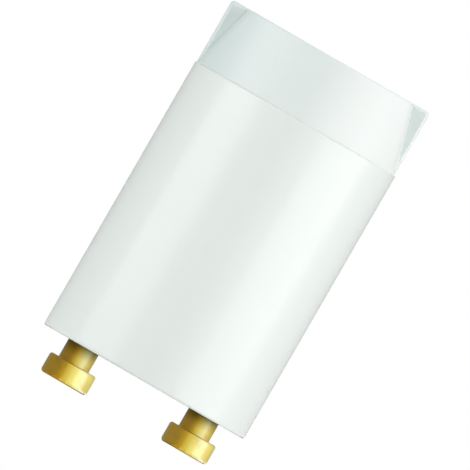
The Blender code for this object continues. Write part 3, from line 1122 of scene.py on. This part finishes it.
class Lathe(GeometryTree):
    """A Geometry Nodes tree that turns a half outline round an upright axis and presses two flats into it."""

    def __init__(self) -> None:
        """Make the tree."""
        super().__init__(
            "lathe",
            {
                "Outline points": "NodeSocketInt",
                "Steps around": "NodeSocketInt",
                "Axis X": "NodeSocketFloat",
                "Flat middle height": "NodeSocketFloat",
                "Flat half height": "NodeSocketFloat",
                "Flat distance": "NodeSocketFloat",
                "Material": "NodeSocketMaterial",
            },
        )
        around = self.given("Steps around")
        sheet = self.node(
            "GeometryNodeMeshGrid",
            sockets={"Vertices X": self.given("Outline points"), "Vertices Y": around + 1},
        )
        number = Value(self, self.node("GeometryNodeInputIndex").outputs[0])
        row = number / (around + 1)
        radius, height = self._drawn_point(row.maths("FLOOR", row))
        turn = number.maths("MODULO", number, around + 1) / around * (-2 * math.pi)
        across = radius * turn.cosine()
        flat_height = (self.given("Flat middle height"), self.given("Flat half height"))
        pressed = height.maths("COMPARE", height, *flat_height)
        kept = across.maths("SIGN", across) * abs(across).at_most(self.given("Flat distance"))
        place = self.node(
            "ShaderNodeCombineXYZ",
            sockets={
                "X": across + (kept - across) * pressed + self.given("Axis X"),
                "Y": radius * turn.sine(),
                "Z": height,
            },
        )
        turned = self.node(
            "GeometryNodeSetPosition", sockets={"Geometry": sheet.outputs[0], "Position": place.outputs[0]}
        )
        closed = self.node(
            "GeometryNodeMergeByDistance",
            sockets={"Geometry": turned.outputs[0], "Distance": MERGE_DISTANCE},
        )
        smooth = self.node("GeometryNodeSetShadeSmooth", sockets={"Geometry": closed.outputs[0]})
        self.close(smooth.outputs[0])

    def _drawn_point(self, place: Value) -> tuple[Value, Value]:
        """A point of the half outline.

        Args:
            place: Its place in the order of the outline.

        Returns:
            Its radius and its height.
        """
        position = self.node("GeometryNodeInputPosition").outputs[0]
        sampled = self.node(
            "GeometryNodeSampleIndex",
            {"data_type": "FLOAT_VECTOR", "domain": "POINT"},
            {"Geometry": self.start["Geometry"], "Value": position, "Index": place},
        )
        parts = self.node("ShaderNodeSeparateXYZ", sockets={0: sampled.outputs[0]}).outputs
        return Value(self, parts["X"]), Value(self, parts["Z"])


@dataclass
class ContactPin:
    """A turned brass pin with a mushroom head, a grooved neck and a drilled tail.

    The crimp's slopes run from its half height to that times the lead, and the press reaches just past the
    half height, so that both ends of the flat are pressed.
    """

    side: str
    x: float
    head_radius: float = 0.0024
    head_height: float = 0.002
    end_rounding: float = 0.00035
    shoulder_rounding: float = 0.00025
    edge_ring: float = 0.00004
    neck_radius: float = 0.001575
    neck_fillet: float = 0.00006
    groove_radius: float = 0.001175
    groove_low: float = 0.00455
    groove_high: float = 0.00575
    plate_top: float = 0.00605
    tail_radius: float = 0.00145
    tail_top: float = 0.00905
    tail_rounding: float = 0.0001
    bore_radius: float = 0.0009
    bore_bottom: float = 0.00645
    crimp_middle: float = 0.00775
    crimp_half: float = 0.0004
    crimp_place: float = 0.00125
    crimp_lead: float = 1.2
    crimp_press: float = 1.01
    arc_steps: int = 8
    longest_run: float = 0.0006
    around: int = 128

    def half_outline(self) -> list[Point]:
        """Draw the pin's half outline, from the middle of its end face up to the bottom of its bore.

        Returns:
            The outline's points as (radius, height).
        """
        slope = self.crimp_half * self.crimp_lead
        points = outline(
            [
                (0.0, 0.0),
                (self.head_radius, 0.0, self.end_rounding),
                (self.head_radius, self.head_height, self.shoulder_rounding),
                (self.neck_radius, self.head_height, self.neck_fillet),
                (self.neck_radius, self.groove_low),
                (self.groove_radius, self.groove_low),
                (self.groove_radius, self.groove_high),
                (self.neck_radius, self.groove_high),
                (self.neck_radius, self.plate_top),
                (self.tail_radius, self.plate_top),
                (self.tail_radius, self.crimp_middle - slope),
                (self.tail_radius, self.crimp_middle - self.crimp_half),
                (self.tail_radius, self.crimp_middle + self.crimp_half),
                (self.tail_radius, self.crimp_middle + slope),
                (self.tail_radius, self.tail_top, self.tail_rounding),
                (self.bore_radius, self.tail_top, self.tail_rounding),
                (self.bore_radius, self.bore_bottom),
                (0.0, self.bore_bottom),
            ],
            self.arc_steps,
        )
        return split_long(points, self.longest_run, self.edge_ring)

    def build(self, lathe: Lathe, finish: bpy.types.Material) -> None:
        """Make the pin.

        Args:
            lathe: What turns it.
            finish: The brass.
        """
        drawn = [(radius, 0.0, height) for radius, height in self.half_outline()]
        values = {
            "Outline points": len(drawn),
            "Steps around": self.around,
            "Axis X": self.x,
            "Flat middle height": self.crimp_middle,
            "Flat half height": self.crimp_half * self.crimp_press,
            "Flat distance": self.crimp_place,
            "Material": finish,
        }
        name = f"pin_{self.side}"
        add_piece(name, lathe.run(name, values, drawn), finish, [f"contact_pin_{self.side}"])


# Inner pieces


class Inner(Enum):
    """CAD nodes whose shape is kept."""

    BASE_PLATE = "base_plate"
    BULB = "glow_tube_bulb"
    BIMETAL = "bimetal_strip"
    BIMETAL_LEAD = "bimetal_lead_wire"
    ELECTRODE = "fixed_electrode_wire"
    CAPACITOR = "capacitor_body"
    CAPACITOR_LEFT = "capacitor_lead_left"
    CAPACITOR_RIGHT = "capacitor_lead_right"


@dataclass
class InnerPieces:
    """The plate and what stands on it inside the can. Edges from the sharp angle in degrees stay sharp."""

    plate: SpeckledSolid = SpeckledSolid(
        "pressed_plate", srgb(214, 214, 206), srgb(176, 174, 164), 0.00025, 0.55, depth=0.00001
    )
    glass: SpeckledSolid = SpeckledSolid(
        "clear_bulb", srgb(240, 246, 244), srgb(225, 236, 232), 0.001, 0.1, transmission=0.95, depth=0.000001
    )
    wire: SpeckledSolid = SpeckledSolid(
        "tinned_wire", srgb(206, 203, 196), srgb(150, 146, 138), 0.0003, 0.3, metallic=1.0
    )
    strip: SpeckledSolid = SpeckledSolid(
        "bimetal", srgb(184, 180, 170), srgb(140, 132, 118), 0.0002, 0.35, metallic=1.0
    )
    coat: SpeckledSolid = SpeckledSolid(
        "dipped_coat", srgb(158, 84, 34), srgb(120, 58, 22), 0.0006, 0.3, coat=0.4
    )
    sharp: float = 32.0

    def build(self) -> None:
        """Make each inner piece with its finish."""
        wire = self.wire.material()
        looks = {
            Inner.BASE_PLATE: (self.plate.material(), "plate_plastic"),
            Inner.BULB: (self.glass.material(), "bulb_glass"),
            Inner.BIMETAL: (self.strip.material(), "bimetal_steel"),
            Inner.BIMETAL_LEAD: (wire, "lead_wire"),
            Inner.ELECTRODE: (wire, "lead_wire"),
            Inner.CAPACITOR: (self.coat.material(), "capacitor_coat"),
            Inner.CAPACITOR_LEFT: (wire, "lead_wire"),
            Inner.CAPACITOR_RIGHT: (wire, "lead_wire"),
        }
        for node, (finish, slot) in looks.items():
            add_piece(f"{node.value}_skin", smooth_copy(node.value, self.sharp), finish, [node.value])


# Studio


COOL = (0.98, 1.0, 0.995)
WARM = (1.0, 0.99, 0.985)
PLAIN = (1.0, 1.0, 1.0)


class LinkState(Enum):
    """What linking a light to the pins does."""

    KEPT_OFF = "EXCLUDE"
    PINS_ONLY = "INCLUDE"


@dataclass(frozen=True)
class Softbox:
    """An upright soft lamp that faces the starter. Its brightness is that of a surface which glows."""

    name: str
    azimuth: float
    width: float
    foot: float
    top: float
    brightness: float
    tint: Triple = PLAIN
    glossy: bool = True
    distance: float = 0.5

    def stand(self) -> bpy.types.Object:
        """Put the lamp up.

        Returns:
            The lamp.
        """
        data = bpy.data.lights.new(self.name, "AREA")
        data.shape = "RECTANGLE"
        data.size = self.width
        data.size_y = self.top - self.foot
        data.energy = math.pi * data.size * data.size_y * self.brightness
        data.color = self.tint
        lamp = bpy.data.objects.new(self.name, data)
        turn = math.radians(self.azimuth)
        away = Vector((math.sin(turn), -math.cos(turn), 0))
        across = Vector((math.cos(turn), math.sin(turn), 0))
        facing = Matrix((across, Vector((0, 0, 1)), away)).transposed().to_4x4()
        middle = away * self.distance + Vector((0, 0, (self.foot + self.top) / 2))
        lamp.matrix_world = Matrix.Translation(middle) @ facing
        lamp.visible_camera = False
        lamp.visible_glossy = self.glossy
        bpy.context.scene.collection.objects.link(lamp)
        return lamp


@dataclass(frozen=True)
class BentCard:
    """A glowing or black card bent round an upright axis, which only reflections see, to shape the gloss.

    It runs from the first angle to the last, in degrees from the camera's side. Its lower and upper edges
    can turn inwards by a lip, so that rounded corners see it too.
    """

    name: str
    first: float
    last: float
    distance: float
    foot: float
    top: float
    shade: float
    axis: float = 0.0
    tint: Triple = PLAIN
    lip: float = 0.0
    steps: int = 24

    def stand(self) -> bpy.types.Object:
        """Put the card up.

        Returns:
            The card.
        """
        turns = np.radians(np.linspace(self.first, self.last, self.steps + 1))
        edges = [(self.distance, self.foot), (self.distance, self.top)]
        if self.lip:
            inner = self.distance - self.lip
            edges = [(inner, self.foot), *edges, (inner, self.top)]
        points = [
            (self.axis + away * math.sin(turn), -away * math.cos(turn), height)
            for turn in turns
            for away, height in edges
        ]
        row = len(edges)
        faces = [
            (near, near + row, near + row + 1, near + 1)
            for first in range(0, len(points) - row, row)
            for near in range(first, first + row - 1)
        ]
        mesh = bpy.data.meshes.new(self.name)
        mesh.from_pydata(points, [], faces)
        sheet = MaterialSheet(self.name)
        glow = {"Emission Color": (*self.tint, 1), "Emission Strength": self.shade}
        shader = sheet.surface({"Base Color": (0, 0, 0, 1), "Specular IOR Level": 0.0, **glow})
        mesh.materials.append(sheet.end(shader))
        card = bpy.data.objects.new(self.name, mesh)
        bpy.context.scene.collection.objects.link(card)
        card.visible_camera = card.visible_diffuse = card.visible_transmission = card.visible_shadow = False
        return card


@dataclass
class Studio:
    """White floor and surroundings, soft lamps, and the camera.

    Each part of the pins' gloss is a card's first and last angle, its brightness and its tint.
    """

    aim: Triple = (0.00053, 0, 0.019665)
    frame_width: float = 0.04307
    lean: float = 30.0
    camera_distance: float = 0.5
    camera_reach: Span = (0.001, 10)
    ambient: float = 0.12
    top_light_size: float = 0.7
    top_light_height: float = 0.7
    top_brightness: float = 0.85
    floor_size: float = 4.0
    floor_colour: Colour = srgb(246, 246, 246)
    lamps: tuple[Softbox, ...] = (
        Softbox("left_low_light", -61, 0.435, 0.0, 0.1, 2.85, COOL),
        Softbox("left_high_light", -61, 0.435, 0.1, 0.45, 2.85, COOL, glossy=False),
        Softbox("right_low_light", 63.5, 0.554, 0.0, 0.1, 3.0, WARM),
        Softbox("right_high_light", 63.5, 0.554, 0.1, 0.45, 3.0, WARM, glossy=False),
        Softbox("rear_light", 180, 0.47, 0.0, 0.45, 2.6, glossy=False),
    )
    cards: tuple[BentCard, ...] = (
        BentCard("front_card", -12, 12, 0.45, 0.001, 0.45, 0.0),
        BentCard("rear_card", 105, 255, 0.45, 0.001, 0.45, 0.26),
    )
    pin_gloss: tuple[tuple[float, float, float, Triple], ...] = (
        (-140, -31, 0.34, (1.0, 0.88, 0.5)),
        (-31, -13, 0.54, (1.0, 0.8, 0.22)),
        (-13, 4, 0.88, (0.91, 1.0, 0.67)),
        (4, 24, 1.43, (0.71, 0.85, 1.0)),
        (24, 44, 3.53, (0.31, 0.45, 1.0)),
        (44, 64, 4.8, (0.25, 0.36, 1.0)),
        (64, 98, 1.17, (0.81, 0.95, 1.0)),
        (98, 130, 0.79, (0.89, 1.0, 0.8)),
    )
    pin_card_distance: float = 0.0045
    pin_card_heights: Span = (0.0001, 0.0038)
    pin_card_lip: float = 0.0022
    print_radius: float = 0.00212
    print_blend: float = 0.00002

    def set_up(self) -> None:
        """Build the whole studio."""
        self._make_world()
        self._make_floor()
        left, *_ = [lamp.stand() for lamp in self.lamps]
        self._link_to_pins(left, LinkState.KEPT_OFF)
        self._hang_top_light()
        for card in self.cards:
            card.stand()
        for axis in PINS.values():
            self._stand_pin_cards(axis)
        self._make_camera()
        bpy.context.scene.view_settings.view_transform = "Standard"

    def _stand_pin_cards(self, axis: float) -> None:
        """Stand the gloss cards round one pin, for the pins only.

        Args:
            axis: The pin's place along X.
        """
        place = (self.pin_card_distance, *self.pin_card_heights)
        for first, last, shade, tint in self.pin_gloss:
            card = BentCard("pin_card", first, last, *place, shade, axis, tint, self.pin_card_lip)
            self._link_to_pins(card.stand(), LinkState.PINS_ONLY)

    def _hang_top_light(self) -> None:
        """A wide soft lamp overhead, for the top and the floor."""
        data = bpy.data.lights.new("top_light", "AREA")
        data.size = self.top_light_size
        data.energy = math.pi * data.size**2 * self.top_brightness
        lamp = bpy.data.objects.new("top_light", data)
        lamp.location = (0, 0, self.top_light_height)
        lamp.visible_camera = False
        bpy.context.scene.collection.objects.link(lamp)

    @staticmethod
    def _link_to_pins(light: bpy.types.Object, state: LinkState) -> None:
        """Keep a light off the pins, or let it reach nothing else.

        Args:
            light: The lamp or card.
            state: Which of the two.
        """
        pins = bpy.data.collections.new(f"{light.name}_pins")
        light.light_linking.receiver_collection = pins
        for side in PINS:
            pins.objects.link(bpy.data.objects[f"pin_{side}"])
        for linked in pins.collection_objects:
            linked.light_linking.link_state = state.value

    def _make_world(self) -> None:
        """Surroundings that look white and light the starter softly."""
        world = bpy.data.worlds.new("white_surroundings")
        world.use_nodes = True
        bpy.context.scene.world = world
        tree = Tree(world.node_tree)
        world.node_tree.nodes.clear()
        path = tree.node("ShaderNodeLightPath").outputs
        seen = Value(tree, path["Is Camera Ray"]) + Value(tree, path["Is Glossy Ray"])
        seen = (seen + Value(tree, path["Is Transmission Ray"])).at_most(1.0)
        strength = seen * (1 - self.ambient) + self.ambient
        light = tree.node("ShaderNodeBackground", sockets={"Color": (1, 1, 1, 1), "Strength": strength})
        tree.node("ShaderNodeOutputWorld", sockets={"Surface": light.outputs[0]})

    def _make_floor(self) -> None:
        """A pale floor under the pins."""
        half = self.floor_size / 2
        mesh = bpy.data.meshes.new("floor")
        corners = [(-half, -half, 0), (half, -half, 0), (half, half, 0), (-half, half, 0)]
        mesh.from_pydata(corners, [], [(0, 1, 2, 3)])
        mesh.materials.append(self._floor_finish())
        floor = bpy.data.objects.new("floor", mesh)
        bpy.context.scene.collection.objects.link(floor)

    def _floor_finish(self) -> bpy.types.Material:
        """Make a pale matt paper that is clear from below and under the pins, so that their ends show.

        Returns:
            The material.
        """
        sheet = MaterialSheet("pale_floor")
        paper = sheet.surface({"Base Color": self.floor_colour, "Specular IOR Level": 0.0})
        clear = sheet.node("ShaderNodeBsdfTransparent").outputs[0]
        below = Value(sheet, sheet.node("ShaderNodeNewGeometry").outputs["Backfacing"])
        beyond = sheet.from_pins().step(self.print_radius, self.print_radius + self.print_blend)
        open_share = (below + (1 - beyond)).at_most(1.0)
        both = sheet.node("ShaderNodeMixShader", sockets={0: open_share, 1: paper, 2: clear})
        return sheet.end(both.outputs[0])

    def _make_camera(self) -> None:
        """A camera square to the can's side, turned so that the starter leans in the picture."""
        data = bpy.data.cameras.new("camera")
        data.type = "ORTHO"
        data.ortho_scale = self.frame_width
        data.clip_start, data.clip_end = self.camera_reach
        camera = bpy.data.objects.new("camera", data)
        lean = math.radians(self.lean)
        right = Vector((math.cos(lean), 0, math.sin(lean)))
        up = Vector((-math.sin(lean), 0, math.cos(lean)))
        back = Vector((0, -1, 0))
        place = Matrix.Translation(Vector(self.aim) + back * self.camera_distance)
        camera.matrix_world = place @ Matrix((right, up, back)).transposed().to_4x4()
        bpy.context.scene.collection.objects.link(camera)
        bpy.context.scene.camera = camera


def main() -> None:
    """Build the starter's looks and the studio round it."""
    logging.basicConfig(level=logging.INFO, format="%(name)s: %(message)s")
    can = Can()
    can.build(MouldedCan(can).material())
    brass = TurnedBrass().material()
    lathe = Lathe()
    for side, x in PINS.items():
        ContactPin(side, x).build(lathe, brass)
    InnerPieces().build()
    Studio().set_up()


if __name__ == "__main__":
    main()
